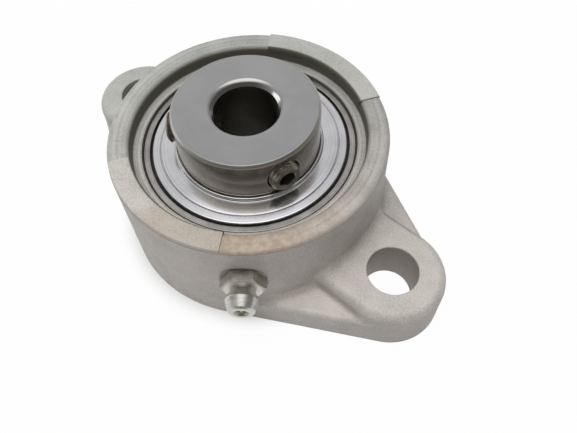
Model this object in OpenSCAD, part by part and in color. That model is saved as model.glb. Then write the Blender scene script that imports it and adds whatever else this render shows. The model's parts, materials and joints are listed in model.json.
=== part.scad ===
// Two-bolt flange bearing: a cast housing with a self-aligning ball insert,
// held to its shaft by two set screws and greased through a nipple.
// The origin is the middle of the bolt line on the mounting face.
// +X runs along the bolt line and +Z out along the shaft, on the collar's side.

/* [Flange] */
// Overall length of the flange
flange_len = 99; // [96:0.5:106]
// Distance between the bolt centres
bolt_spacing = 76.5; // [75:0.5:82]
// Diameter of the bolt holes
bolt_hole_d = 10.5; // [8:0.25:12]
// Thickness of the ears under the bolt heads
ear_t = 11.2; // [9.5:0.1:13]
// Thickness of the flange beside the lands
plate_t = 7; // [5:0.25:8]
// Round along the top of the ears and lands
ear_round = 2.5; // [1:0.1:3]
// Round along the top of the thin flange
plate_round = 1.5; // [0.5:0.1:2]
// Fillet where a land meets the boss
land_fillet = 3.5; // [1:0.25:5]
// Lean of the cast walls, in degrees
draft = 2; // [0.5:0.25:3]

/* [Boss] */
// Diameter of the boss at its rim
boss_d = 57.4; // [55:0.2:62]
// Height of the rim above the mounting face
boss_h = 26; // [24.5:0.5:29]
// Width of the flat ledge round the insert
ledge_w = 2.25; // [1:0.05:3]
// Fillet from the ledge up to the wall of the recess
ledge_fillet = 0.9; // [0.3:0.1:1.2]
// Round on the turned inner edge of the rim
rim_round = 1.8; // [0.5:0.1:2.5]
// Bevel round the outside of the rim
rim_bevel = 0.4; // [0.2:0.1:1]
// Height of the two marking pads above the rim
pad_rise = 0.3; // [0.1:0.05:0.8]
// Angle that each marking pad spans
pad_span = 65; // [40:1:90]
// Round on the inner edge of the marking pads
pad_round = 1.2; // [0.4:0.1:1.3]

/* [Insert] */
// Diameter of the insert's spherical outside
insert_d = 47; // [46:0.25:49]
// Width of the outer ring
outer_w = 16; // [15:0.25:17]
// Height of the insert's centre above the mounting face
centre_h = 14.2; // [13.5:0.1:16]
// Width of the inner ring
inner_w = 31; // [29:0.5:34]
// Inner ring's reach from the insert's centre towards the mounting face
inner_back = 12.7; // [11:0.1:13.5]
// Diameter of the inner ring and its collar
collar_d = 29.5; // [28:0.1:30.5]
// Diameter of the shaft bore
shaft_d = 12.7; // [10:0.1:15]
// Bevel at the mouths of the shaft bore
bore_bevel = 0.8; // [0.3:0.1:1.5]
// Bevel on the edges of the collar
collar_bevel = 0.5; // [0.2:0.1:1]

/* [Balls and cage] */
// Diameter of the balls
ball_d = 7.938; // [7:0.1:8.4]
// Raceway groove radius, as a multiple of the ball's radius
groove_ratio = 1.035; // [1.02:0.005:1.06]
// Thickness of the cage's pressed sheet
cage_t = 0.8; // [0.5:0.05:1]
// Diameter of the cage rivets
rivet_d = 1.1; // [0.8:0.1:1.4]

/* [Seals and slingers] */
// Thickness of the lip seals
seal_t = 1.3; // [0.8:0.1:1.5]
// Depth of the seal groove in the outer ring
seal_bite = 0.4; // [0.2:0.05:0.6]
// Thickness of the slinger's pressed sheet
slinger_t = 0.6; // [0.4:0.05:0.8]
// Gap round the slinger's edge
slinger_gap = 0.45; // [0.3:0.05:0.8]

/* [Set screws] */
// Thread diameter of the set screws
screw_d = 6.35; // [5:0.05:7]
// Length of the set screws
screw_len = 8; // [6:0.25:8.5]
// How far a set screw stands out of the collar
screw_proud = 1.2; // [0:0.1:2]
// Distance from the collar's face to the screw axis
screw_inset = 5.3; // [4.5:0.1:6]
// Width across the flats of the hex socket
socket_af = 3.175; // [2.5:0.005:3.5]
// Angle of the first set screw round the shaft
screw_angle = -18.5; // [-30:0.5:0]
// Angle from the first set screw to the second
screw_apart = -120; // [-140:1:-90]

/* [Grease nipple] */
// Thread diameter of the nipple
nipple_d = 6.35; // [5:0.05:7]
// Width across the flats of its hexagon
nipple_af = 7.94; // [7:0.02:9]
// Thickness of its hexagon
nipple_hex_t = 2.6; // [1.5:0.1:3.5]
// Length of its head, from the hexagon to the tip
nipple_head = 4.5; // [4:0.1:6]
// Diameter of its head
nipple_head_d = 6.6; // [6:0.1:7]
// Diameter of its grease way
nipple_way_d = 2.9; // [2.4:0.1:3]
// Angle of the nipple round the boss
nipple_angle = -50.4; // [-62:0.2:-44]
// Height of the nipple's axis above the insert's centre
nipple_rise = 1.6; // [0.5:0.1:2.5]

/* [Fits] */
// Gap between the insert and its seat
seat_clear = 0.05; // [0.03:0.01:0.1]
// Gap between a ball and each raceway
ball_clear = 0.05; // [0.03:0.01:0.1]
// Gap between a ball and its cage pocket
pocket_clear = 0.12; // [0.08:0.01:0.2]
// Gap between a seal lip and the inner ring
lip_clear = 0.08; // [0.05:0.01:0.15]
// Gap round a set screw in its hole
screw_clear = 0.06; // [0.04:0.01:0.1]
// Gap round the check ball in its grease way
way_clear = 0.25; // [0.15:0.01:0.35]
// Gap round pieces that are pressed or screwed in for good
press_clear = 0.03; // [0.02:0.01:0.06]

/* [Hidden] */
ball_count = 8;
$fn = 96;
cut = 0.5;               // how far a cut runs past the surface it opens
cast = [0.66, 0.66, 0.65];
turned = [0.72, 0.72, 0.72];
polished = [0.82, 0.82, 0.84];
dark_steel = [0.42, 0.42, 0.4];
rubber = [0.12, 0.12, 0.12];

// Cast housing
ear_r = (flange_len - bolt_spacing) / 2;
bolt_x = bolt_spacing / 2;
rim_r = boss_d / 2;
function wall_r(z) = rim_r + (boss_h - z) * tan(draft);
edge_turn = acos((wall_r(0) - ear_r) / bolt_x);      // direction that a flange edge faces
edge_len = sqrt(pow(bolt_x, 2) - pow(wall_r(0) - ear_r, 2));
blend_lean = 40;                                     // lean of the sides of the boss fillet
blend_tuck = 0.3;                                    // how far they start inside the land

// Spherical seat
ring_r = insert_d / 2;
seat_r = ring_r + seat_clear;
seat_lap = 0.4;                                      // how far the seat reaches past the outer ring
seat_half = outer_w / 2 + seat_lap;
function on_seat(z) = sqrt(pow(seat_r, 2) - pow(z, 2));
mouth_r = on_seat(seat_half);
ledge_z = centre_h + seat_half;
recess_r = mouth_r + ledge_w;
seat_bevel = 0.6;
pad_lap = 0.12;                                      // how far the pads stand off the rim's walls
pad_sunk = 1.1;                                      // how far the pads go down over the rim's round
slot_clear = 0.2;                                    // room for the insert in its loading slots
back_bevel = 0.8;

// Radial stack of the insert
shaft_r = shaft_d / 2;
collar_r = collar_d / 2;
race_gap = 4;                                        // between the lands of the inner and the outer ring
outer_land_r = collar_r + race_gap;
pitch_r = collar_r + race_gap / 2;
face_r = sqrt(pow(ring_r, 2) - pow(outer_w / 2, 2)); // outer edge of the ring's face
ring_lip = 1.25;                                     // width of the ring's face
ring_bevel = 0.2;
bay_r = face_r - ring_lip;                           // bore that the slinger turns in
ball_r = ball_d / 2;
ball_step = 360 / ball_count;
groove_r = ball_r * groove_ratio;
outer_groove_r = pitch_r + ball_r + ball_clear - groove_r;
inner_groove_r = pitch_r - ball_r - ball_clear + groove_r;

// Axial stack of the insert, from its centre out
pocket_r = ball_r + pocket_clear;
cage_top = pocket_r + cage_t;
cage_gap = 0.65;                                     // from the cage to the rings
cage_in_r = collar_r + cage_gap;
cage_out_r = outer_land_r - cage_gap;
rivet_head_t = 0.5;
rivet_head_lap = 0.4;                                // how far a rivet's head reaches past its shank
seal_room = 0.55;                                    // from the cage to the seal
seal_in = cage_top + seal_room;
seal_out = seal_in + seal_t;
seal_lip = 1.3;                                      // length of the seal's soft lip
seal_lip_t = 0.3;                                    // thickness of the lip's edge
seal_lip_drop = 0.1;                                 // from the seal's face down to the lip's edge
slinger_room = 0.4;                                  // from the seal to the slinger
slinger_in = seal_out + slinger_room;
slinger_r = bay_r - slinger_gap;
slinger_rim_w = 1.6;                                 // width of the slinger's raised flange
slinger_slope_w = 1.5;                               // width of the slope up to it
slinger_step = 0.45;
slinger_lip = 1.3;                                   // height of the lip that grips the inner ring
inner_lo = -inner_back;
inner_hi = inner_w - inner_back;
lube_d = 1.5;
groove_edge_z = sqrt(pow(groove_r, 2) - pow(outer_land_r - outer_groove_r, 2));
lube_z = (seal_in + groove_edge_z) / 2;              // halfway from the raceway to the seal

// Set screws
screw_r = screw_d / 2;
screw_out_r = collar_r + screw_proud;
screw_z = centre_h + inner_hi - screw_inset;
screw_bevel = 0.5;
screw_sink = 0.5;                                    // countersink at the mouth of a screw hole
socket_depth = 3.4;
screw_angles = [screw_angle, screw_angle + screw_apart];

// Grease nipple, along its own axis from the seat of its hexagon
nipple_r = nipple_d / 2;
nipple_z = centre_h + nipple_rise;
spot_depth = 0.4;                                    // flat cut in the boss under the hexagon
spot_room = 0.4;                                     // between the hexagon's corners and the flat's edge
hex_corner_r = nipple_af / sqrt(3);
hex_bevel = 0.75;
nipple_seat_r = wall_r(nipple_z) - spot_depth;
way_gap = 0.5;                                       // from the nipple's thread to the seat's groove
groove_depth = 0.9;
shank_len = nipple_seat_r - seat_r - groove_depth - way_gap;
tip = nipple_hex_t + nipple_head;
head_r = nipple_head_d / 2;
neck_waist = 0.86;                                   // how far the neck is cut in under the head
neck_len = 0.3;                                      // straight neck above the hexagon
head_taper = 0.66;                                   // how far the head narrows up to its shoulder
tip_bevel = 0.46;
wide_z = nipple_hex_t + nipple_head / 2;
shoulder_r = head_r - head_taper;

// Valve inside the nipple
way_r = nipple_way_d / 2;
check_r = way_r - way_clear;
check_gap = 0.05;
mouth_step = 0.5;                                    // how much narrower the mouth is than the grease way
mouth_way_r = way_r - mouth_step;
mouth_depth = 0.7;                                   // from the tip to the valve's seat
valve_len = 1.2;                                     // length of the cone that the check ball closes
valve_lean = atan(mouth_step / valve_len);
valve_z = tip - mouth_depth - valve_len;
check_z = valve_z + (way_r - (check_r + check_gap) / cos(valve_lean)) / tan(valve_lean);
spring_seat_t = 0.6;
spring_wire = 0.3;
spring_turns = 6;
spring_side = 0.15;                                  // between the spring and the grease way
spring_r = way_r - spring_wire / 2 - spring_side;
spring_lo = spring_seat_t - shank_len + spring_wire / 2 + check_gap;
spring_hi = check_z - sqrt(pow(check_r + spring_wire / 2 + check_gap, 2) - pow(spring_r, 2));

// Section of a cast wall: it leans in by the draft and its top corner is round
module cast_section(outer, reach, h, r) {
    lean = tan(draft);
    arc_x = outer - (h - r) * lean - r / cos(draft);
    polygon([
        [outer - reach, 0],
        [outer, 0],
        [arc_x + r * cos(draft), h - r + r * sin(draft)],
        [arc_x, h - r],
        [arc_x, h],
        [outer - reach, h]
    ]);
    translate([arc_x, h - r])
        circle(r);
}

// One ear, with the land that carries it to the boss
module ear() {
    translate([bolt_x, 0, 0])
        rotate(-90)
            rotate_extrude(angle = 180)
                cast_section(ear_r, ear_r, ear_t, ear_round);
    rotate([90, 0, 90])
        linear_extrude(bolt_x)
            for (side = [0, 1])
                mirror([side, 0])
                    cast_section(ear_r, ear_r, ear_t, ear_round);
}

// Thin flange along one edge, from the boss to an ear
module flange_edge() {
    rotate(edge_turn)
        rotate([90, 0, 0])
            linear_extrude(edge_len)
                cast_section(wall_r(0), ear_r, plate_t, plate_round);
}

// Fillet from the boss down to the lands, narrowing as it climbs
module land_blend() {
    foot_r = wall_r(ear_t + land_fillet);
    shoulder_z = ear_t - ear_round;
    shoulder_y = ear_r - shoulder_z * tan(draft) - blend_tuck;
    crest_z = ear_t + land_fillet;
    crest_y = shoulder_y - (crest_z - shoulder_z) * tan(blend_lean);
    intersection() {
        rotate_extrude()
            difference() {
                translate([foot_r - land_fillet, ear_t - land_fillet])
                    square([2 * land_fillet, 2 * land_fillet]);
                translate([foot_r + land_fillet, ear_t + land_fillet])
                    circle(land_fillet);
            }
        rotate([90, 0, 90])
            linear_extrude(bolt_spacing, center = true)
                polygon([
                    [-shoulder_y, 0],
                    [shoulder_y, 0],
                    [shoulder_y, shoulder_z],
                    [crest_y, crest_z],
                    [-crest_y, crest_z],
                    [-shoulder_y, shoulder_z]
                ]);
    }
}

// Drafted boss with a bevelled rim
module boss() {
    rotate_extrude()
        polygon([
            [0, 0],
            [wall_r(0), 0],
            [wall_r(boss_h - rim_bevel), boss_h - rim_bevel],
            [rim_r - rim_bevel, boss_h],
            [0, boss_h]
        ]);
}

// Raised pads on the rim, left bare, one on each side of the bolt line
module marking_pads() {
    pad_in_r = recess_r - pad_lap;
    pad_out_r = rim_r - pad_lap;
    round_z = boss_h + pad_rise - pad_round;
    for (side = [90, 270])
        rotate(side - pad_span / 2)
            rotate_extrude(angle = pad_span)
                difference() {
                    translate([pad_in_r, boss_h - pad_sunk])
                        square([pad_out_r - pad_in_r, pad_sunk + pad_rise]);
                    difference() {
                        translate([pad_in_r - cut, round_z])
                            square([pad_round + cut, pad_round + cut]);
                        translate([pad_in_r + pad_round, round_z])
                            circle(pad_round);
                    }
                }
}

// Room inside the housing: rim recess, spherical seat, grease groove and back bore
module insert_room() {
    translate([0, 0, centre_h])
        sphere(seat_r);
    rotate_extrude() {
        difference() {
            translate([0, ledge_z])
                square([recess_r, boss_h - ledge_z + cut]);
            difference() {
                translate([recess_r - ledge_fillet, ledge_z - cut])
                    square([ledge_fillet + cut, ledge_fillet + cut]);
                translate([recess_r - ledge_fillet, ledge_z + ledge_fillet])
                    circle(ledge_fillet);
            }
        }
        difference() {
            translate([recess_r - cut, boss_h - rim_round])
                square([rim_round + cut, rim_round + cut]);
            translate([recess_r + rim_round, boss_h - rim_round])
                circle(rim_round);
        }
        polygon([
            [0, ledge_z - seat_bevel],
            [on_seat(seat_half - seat_bevel), ledge_z - seat_bevel],
            [mouth_r + seat_bevel, ledge_z],
            [mouth_r + seat_bevel, ledge_z + cut],
            [0, ledge_z + cut]
        ]);
        translate([0, nipple_z - lube_d / 2])
            square([seat_r + groove_depth, centre_h + lube_z + lube_d - nipple_z]);
        translate([0, -cut])
            square([mouth_r, centre_h - seat_half + cut]);
        polygon([
            [0, -cut],
            [mouth_r + back_bevel + cut, -cut],
            [mouth_r, back_bevel],
            [0, back_bevel]
        ]);
    }
    loading_slots();
}

// Slots at the back that the insert is turned in through
module loading_slots() {
    slot_w = outer_w + 2 * slot_clear;
    intersection() {
        translate([0, 0, -cut])
            cylinder(h = centre_h + cut, r = seat_r + slot_clear);
        translate([-insert_d, -slot_w / 2, -cut])
            cube([2 * insert_d, slot_w, centre_h + 2 * cut]);
    }
}

module at_nipple() {
    rotate(nipple_angle)
        translate([nipple_seat_r, 0, nipple_z])
            rotate([0, 90, 0])
                children();
}

module flange_housing() {
    color(cast) {
        difference() {
            union() {
                boss();
                land_blend();
                for (turn = [0, 180])
                    rotate(turn) {
                        ear();
                        flange_edge();
                        mirror([0, 1])
                            flange_edge();
                    }
            }
            insert_room();
            for (side = [-1, 1])
                translate([side * bolt_x, 0, -cut])
                    cylinder(h = ear_t + 2 * cut, d = bolt_hole_d);
            at_nipple() {
                translate([0, 0, seat_r - nipple_seat_r - cut])
                    cylinder(h = nipple_seat_r - seat_r + 2 * cut, r = nipple_r + press_clear);
                cylinder(h = spot_depth + 2 * cut, r = hex_corner_r + spot_room);
            }
        }
        marking_pads();
    }
}

module outer_ring() {
    color(turned)
        translate([0, 0, centre_h])
            difference() {
                rotate_extrude()
                    difference() {
                        intersection() {
                            circle(ring_r);
                            translate([outer_land_r, -outer_w / 2])
                                square([ring_r, outer_w]);
                        }
                        translate([outer_groove_r, 0])
                            circle(groove_r);
                        for (side = [0, 1])
                            mirror([0, side]) {
                                translate([0, seal_in])
                                    square([bay_r, outer_w]);
                                translate([0, seal_in])
                                    square([bay_r + seal_bite, seal_t + press_clear]);
                                translate([bay_r, outer_w / 2])
                                    rotate(45)
                                        square(ring_bevel * sqrt(2), center = true);
                            }
                    }
                for (turn = [0, 180])
                    rotate(turn)
                        translate([outer_land_r - cut, 0, lube_z])
                            rotate([0, 90, 0])
                                cylinder(h = ring_r - outer_land_r + cut, d = lube_d);
            }
}

module at_screw(angle) {
    rotate(angle)
        translate([0, 0, screw_z])
            rotate([0, 90, 0])
                children();
}

module inner_ring() {
    color(turned)
        difference() {
            translate([0, 0, centre_h])
                rotate_extrude()
                    difference() {
                        polygon([
                            [shaft_r, inner_lo + bore_bevel],
                            [shaft_r + bore_bevel, inner_lo],
                            [collar_r - collar_bevel, inner_lo],
                            [collar_r, inner_lo + collar_bevel],
                            [collar_r, inner_hi - collar_bevel],
                            [collar_r - collar_bevel, inner_hi],
                            [shaft_r + bore_bevel, inner_hi],
                            [shaft_r, inner_hi - bore_bevel]
                        ]);
                        translate([inner_groove_r, 0])
                            circle(groove_r);
                    }
            for (angle = screw_angles)
                at_screw(angle) {
                    cylinder(h = collar_r + cut, r = screw_r + screw_clear);
                    translate([0, 0, collar_r - screw_sink])
                        cylinder(h = screw_sink + cut, r1 = screw_r, r2 = screw_r + screw_sink + cut);
                }
        }
}

module at_balls() {
    for (k = [0 : ball_count - 1])
        rotate(k * ball_step)
            translate([pitch_r, 0, centre_h])
                children();
}

module ball(k) {
    color(polished)
        rotate((k - 1) * ball_step)
            translate([pitch_r, 0, centre_h])
                sphere(ball_r);
}

module at_rivets() {
    for (k = [0 : ball_count - 1])
        rotate((k + 0.5) * ball_step)
            translate([pitch_r, 0, centre_h])
                children();
}

// Ball pocket, with its poles turned in and out so that the cage ring cuts them off
module pocket(r) {
    rotate([0, 90, 0])
        sphere(r);
}

// Pressed half of the cage: a flat ring with a round pocket over each ball
module cage_half() {
    color(polished)
        difference() {
            intersection() {
                union() {
                    translate([0, 0, centre_h - cut])
                        cylinder(h = cage_t + cut, r = cage_out_r + cut);
                    at_balls()
                        pocket(cage_top);
                }
                translate([0, 0, centre_h])
                    rotate(ball_step / 4)
                        difference() {
                            cylinder(h = cage_top + cut, r = cage_out_r);
                            translate([0, 0, -cut])
                                cylinder(h = cage_top + 3 * cut, r = cage_in_r);
                        }
            }
            at_balls()
                pocket(pocket_r);
            at_rivets()
                translate([0, 0, -cut])
                    cylinder(h = cage_t + 2 * cut, r = rivet_d / 2 + press_clear);
        }
}

module about_centre() {
    translate([0, 0, 2 * centre_h])
        rotate([180, 0, 0])
            children();
}

module cage_front() {
    cage_half();
}

module cage_rear() {
    about_centre()
        cage_half();
}

module cage_rivets() {
    color(polished)
        at_rivets() {
            cylinder(h = 2 * cage_t, d = rivet_d, center = true);
            for (side = [-1, 1])
                translate([0, 0, side * (cage_t + rivet_head_t / 2)])
                    cylinder(h = rivet_head_t, r = rivet_d / 2 + rivet_head_lap, center = true);
        }
}

// Rubber seal: a stiff disc in the outer ring's groove, and a lip on the inner ring
module seal() {
    lip_root = collar_r + seal_lip;
    lip_edge = collar_r + lip_clear;
    lip_z = seal_out - seal_lip_drop;
    color(rubber)
        translate([0, 0, centre_h])
            rotate_extrude() {
                translate([lip_root, seal_in])
                    square([bay_r + seal_bite - press_clear - lip_root, seal_t]);
                polygon([
                    [lip_root, seal_in],
                    [lip_root, seal_out],
                    [lip_edge, lip_z],
                    [lip_edge, lip_z - seal_lip_t]
                ]);
            }
}

module front_seal() {
    seal();
}

module rear_seal() {
    about_centre()
        seal();
}

// Pressed slinger: a lip on the inner ring, a dish, a slope and a raised flange with a rolled edge
module slinger() {
    grip_r = collar_r + press_clear;
    rim_in_r = slinger_r - slinger_rim_w;
    slope_in_r = rim_in_r - slinger_slope_w;
    edge_r = slinger_r - slinger_t;
    top = slinger_in + slinger_step + slinger_t;
    color(polished)
        translate([0, 0, centre_h])
            rotate_extrude() {
                translate([grip_r, slinger_in])
                    square([slinger_t, slinger_lip + slinger_t / 2]);
                translate([grip_r + slinger_t / 2, slinger_in + slinger_lip + slinger_t / 2])
                    circle(slinger_t / 2);
                polygon([
                    [grip_r + slinger_t / 2, slinger_in],
                    [slope_in_r, slinger_in],
                    [rim_in_r, top - slinger_t],
                    [edge_r, top - slinger_t],
                    [edge_r, top],
                    [rim_in_r, top],
                    [slope_in_r, slinger_in + slinger_t],
                    [grip_r + slinger_t / 2, slinger_in + slinger_t]
                ]);
                translate([edge_r, top - slinger_t])
                    circle(slinger_t);
            }
}

module front_slinger() {
    slinger();
}

module rear_slinger() {
    about_centre()
        slinger();
}

// Set screw with a hex socket and a cup point
module set_screw(angle) {
    color(dark_steel)
        at_screw(angle)
            difference() {
                translate([0, 0, screw_out_r - screw_len])
                    rotate_extrude()
                        polygon([
                            [0, screw_bevel],
                            [screw_r / 2 - screw_bevel, 0],
                            [screw_r / 2, 0],
                            [screw_r, screw_r / 2],
                            [screw_r, screw_len - screw_bevel],
                            [screw_r - screw_bevel, screw_len],
                            [0, screw_len]
                        ]);
                translate([0, 0, screw_out_r - socket_depth])
                    cylinder(h = socket_depth + cut, d = socket_af / cos(30), $fn = 6);
            }
}

module set_screw_1() {
    set_screw(screw_angles[0]);
}

module set_screw_2() {
    set_screw(screw_angles[1]);
}

// Nipple body: shank, bevelled hexagon, waisted head and the grease way through it
module grease_nipple() {
    color(dark_steel)
        at_nipple()
            difference() {
                union() {
                    translate([0, 0, -shank_len])
                        cylinder(h = shank_len + cut, r = nipple_r);
                    intersection() {
                        rotate(30)
                            cylinder(h = nipple_hex_t, r = hex_corner_r, $fn = 6);
                        cylinder(
                            h = nipple_hex_t,
                            r1 = hex_corner_r + nipple_hex_t,
                            r2 = hex_corner_r - hex_bevel
                        );
                    }
                    rotate_extrude()
                        polygon([
                            [0, nipple_hex_t - cut],
                            [head_r - neck_waist, nipple_hex_t - cut],
                            [head_r - neck_waist, nipple_hex_t + neck_len],
                            [head_r, wide_z],
                            [shoulder_r, tip - tip_bevel],
                            [shoulder_r - tip_bevel, tip],
                            [0, tip]
                        ]);
                }
                translate([0, 0, -shank_len - cut])
                    cylinder(h = shank_len + valve_z + cut, r = way_r);
                translate([0, 0, valve_z])
                    cylinder(h = valve_len, r1 = way_r, r2 = mouth_way_r);
                translate([0, 0, tip - mouth_depth - cut])
                    cylinder(h = mouth_depth + 2 * cut, r = mouth_way_r);
                translate([0, 0, tip - mouth_depth / 2])
                    cylinder(h = mouth_depth, r1 = mouth_way_r, r2 = mouth_way_r + mouth_depth);
            }
}

module nipple_check_ball() {
    color(polished)
        at_nipple()
            translate([0, 0, check_z])
                sphere(check_r);
}

// Coil spring, swept round its helix
module nipple_spring() {
    steps = 14;
    sides = 8;
    rings = spring_turns * steps;
    points = [
        for (i = [0 : rings], j = [0 : sides - 1])
            let (
                turn = 360 * i / steps,
                round = 360 * j / sides,
                reach = spring_r + spring_wire / 2 * cos(round)
            )
            [
                reach * cos(turn),
                reach * sin(turn),
                spring_lo + (spring_hi - spring_lo) * i / rings + spring_wire / 2 * sin(round)
            ]
    ];
    skin = [
        for (i = [0 : rings - 1], j = [0 : sides - 1])
            let (next = (j + 1) % sides)
            [i * sides + j, (i + 1) * sides + j, (i + 1) * sides + next, i * sides + next]
    ];
    start_cap = [[for (j = [0 : sides - 1]) j]];
    end_cap = [[for (j = [sides - 1 : -1 : 0]) rings * sides + j]];
    color(polished)
        at_nipple()
            polyhedron(points, concat(skin, start_cap, end_cap));
}

// Washer pressed into the nipple's inner end, which the spring pushes on
module nipple_spring_seat() {
    color(dark_steel)
        at_nipple()
            translate([0, 0, -shank_len])
                difference() {
                    cylinder(h = spring_seat_t, r = way_r - press_clear);
                    translate([0, 0, -cut])
                        cylinder(h = spring_seat_t + 2 * cut, r = way_r / 2);
                }
}

flange_housing();
outer_ring();
inner_ring();
cage_front();
cage_rear();
cage_rivets();
front_seal();
rear_seal();
front_slinger();
rear_slinger();
set_screw_1();
set_screw_2();
grease_nipple();
nipple_check_ball();
nipple_spring();
nipple_spring_seat();
for (k = [1 : ball_count])
    ball(k);
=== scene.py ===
import bmesh
import bpy
import json
import math
import numpy as np
from mathutils import Matrix, Vector


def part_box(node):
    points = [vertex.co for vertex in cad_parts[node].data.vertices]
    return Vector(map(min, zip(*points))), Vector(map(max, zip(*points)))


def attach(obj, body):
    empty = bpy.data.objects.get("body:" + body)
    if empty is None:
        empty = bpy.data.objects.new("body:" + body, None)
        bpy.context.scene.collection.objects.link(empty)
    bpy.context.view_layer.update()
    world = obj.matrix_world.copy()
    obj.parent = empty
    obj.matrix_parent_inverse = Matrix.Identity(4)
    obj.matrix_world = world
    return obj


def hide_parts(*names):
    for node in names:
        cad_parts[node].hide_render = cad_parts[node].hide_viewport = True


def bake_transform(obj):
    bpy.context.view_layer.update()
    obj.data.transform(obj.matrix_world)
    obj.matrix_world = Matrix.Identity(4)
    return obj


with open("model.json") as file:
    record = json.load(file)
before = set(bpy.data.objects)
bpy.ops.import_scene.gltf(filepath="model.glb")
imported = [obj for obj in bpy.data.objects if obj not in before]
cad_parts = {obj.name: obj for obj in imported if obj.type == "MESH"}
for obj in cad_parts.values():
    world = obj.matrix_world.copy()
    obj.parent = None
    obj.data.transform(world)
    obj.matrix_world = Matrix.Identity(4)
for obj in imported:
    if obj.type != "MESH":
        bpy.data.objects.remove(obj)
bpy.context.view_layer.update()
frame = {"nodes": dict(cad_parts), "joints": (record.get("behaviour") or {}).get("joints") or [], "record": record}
mm = 0.001  # the frame is in metres, the sizes below are in millimetres


def nodeBox(name):
    low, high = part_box(name)
    return low / mm, high / mm


def mountNamed(name):
    return next(m for m in frame["record"]["mounts"] if m["name"] == name)


def jointNamed(name):
    return next(j for j in frame["joints"] if j["name"] == name)


# sizes that several pieces share, read off the frame
ringLow, ringHigh = nodeBox("outer_ring")
collarLow, collarHigh = nodeBox("inner_ring")
ballLow, ballHigh = nodeBox("ball_1")
housingHigh = nodeBox("flange_housing")[1]
shared = {
    "centre": (ringLow.z + ringHigh.z) / 2,
    "ringR": ringHigh.x,
    "ringHalf": (ringHigh.z - ringLow.z) / 2,
    "collarR": collarHigh.x,
    "boreR": mountNamed("shaft_bore")["dims"]["r_mm"],
    "boltX": mountNamed("bolts")["dims"]["spacing_x_mm"] / 2,
    "boltHoleR": mountNamed("bolts")["dims"]["hole_r_mm"],
    "ballR": (ballHigh.z - ballLow.z) / 2,
    "pitchR": (ballHigh.x + ballLow.x) / 2,
}


# camera

photoCamera = {
    "azimuth": 43.08,
    "elevation": 58.53,
    "roll": -2.60,
    "distance": 120.79,
    "aimHeight": 12.0,  # point on the shaft's line that the camera turns about
    "slideRight": 7.39,
    "slideUp": -10.91,
    "lens": 33.37,
    "sensor": 36.0,
    "clip": 0.005,
}


def placeCamera(v):
    azimuth = math.radians(v["azimuth"])
    elevation = math.radians(v["elevation"])
    flat = math.cos(elevation)
    back = Vector((math.sin(azimuth) * flat, -math.cos(azimuth) * flat, math.sin(elevation)))
    right = Vector((math.cos(azimuth), math.sin(azimuth), 0))
    up = back.cross(right)
    place = Vector((0, 0, v["aimHeight"])) + back * v["distance"]
    place += right * v["slideRight"] + up * v["slideUp"]
    turn = Matrix((right, up, back)).transposed().to_4x4()
    lens = bpy.data.cameras.new("photoCamera")
    lens.lens = v["lens"]
    lens.sensor_width = v["sensor"]
    lens.clip_start = v["clip"]
    camera = bpy.data.objects.new("photoCamera", lens)
    bpy.context.collection.objects.link(camera)
    roll = Matrix.Rotation(math.radians(v["roll"]), 4, "Z")
    camera.matrix_world = Matrix.Translation(place * mm) @ turn @ roll
    bpy.context.scene.camera = camera


placeCamera(photoCamera)
print("camera placed")


# shader maths

class Flow:
    def __init__(self, tree, socket=None):
        self.tree = tree
        self.socket = socket

    def node(self, kind, settings, sockets, out=0):
        made = self.tree.nodes.new(kind)
        for name, value in settings.items():
            setattr(made, name, value)
        for name, value in sockets.items():
            if isinstance(value, Flow):
                self.tree.links.new(value.socket, made.inputs[name])
            else:
                made.inputs[name].default_value = value
        return Flow(self.tree, made.outputs[out])

    def maths(self, operation, first, second=0.0):
        return self.node("ShaderNodeMath", {"operation": operation}, {0: first, 1: second})

    def __add__(self, other):
        return self.maths("ADD", self, other)

    def __radd__(self, other):
        return self.maths("ADD", other, self)

    def __sub__(self, other):
        return self.maths("SUBTRACT", self, other)

    def __rsub__(self, other):
        return self.maths("SUBTRACT", other, self)

    def __mul__(self, other):
        return self.maths("MULTIPLY", self, other)

    def __rmul__(self, other):
        return self.maths("MULTIPLY", other, self)

    def __truediv__(self, other):
        return self.maths("DIVIDE", self, other)


def grey(level):
    return (level, level, level, 1.0)


def mixColour(mask, first, second, blend="MIX"):
    flow = next(part for part in (mask, first, second) if isinstance(part, Flow))
    sockets = {0: mask, 6: first, 7: second}  # the node's colours are its sockets 6 and 7
    return flow.node("ShaderNodeMix", {"data_type": "RGBA", "blend_type": blend}, sockets, out=2)


def ease(value, low, high, start=0.0, end=1.0):
    sockets = {0: value, 1: low, 2: high, 3: start, 4: end}
    return value.node("ShaderNodeMapRange", {"interpolation_type": "SMOOTHSTEP"}, sockets)


def fade(value, low, high):
    return ease(value, low, high, 1.0, 0.0)


def within(value, rise, end):
    return ease(value, *rise) * fade(value, *end)


def weigh(shares, *fields):
    total = fields[0] * shares[0]
    for share, field in zip(shares[1:], fields[1:]):
        total = total + field * share
    return total


def noise(place, scale, detail=3.0, rough=0.5):
    sockets = {"Vector": place, "Scale": scale, "Detail": detail, "Roughness": rough}
    return place.node("ShaderNodeTexNoise", {"noise_dimensions": "3D"}, sockets)


def lines(value, scale, detail=4.0, rough=0.65):
    # streaks that run across one coordinate, such as the tool marks of a lathe
    sockets = {"W": value, "Scale": scale, "Detail": detail, "Roughness": rough}
    return value.node("ShaderNodeTexNoise", {"noise_dimensions": "1D"}, sockets)


def bump(height, strength, depth):
    sockets = {"Height": height, "Strength": strength, "Distance": depth}
    return height.node("ShaderNodeBump", {}, sockets)


def startMaterial(name):
    material = bpy.data.materials.new(name)
    material.use_nodes = True
    tree = material.node_tree
    place = Flow(tree).node("ShaderNodeTexCoord", {}, {}, out="Object")
    return material, place, tree.nodes["Principled BSDF"].inputs


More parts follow.
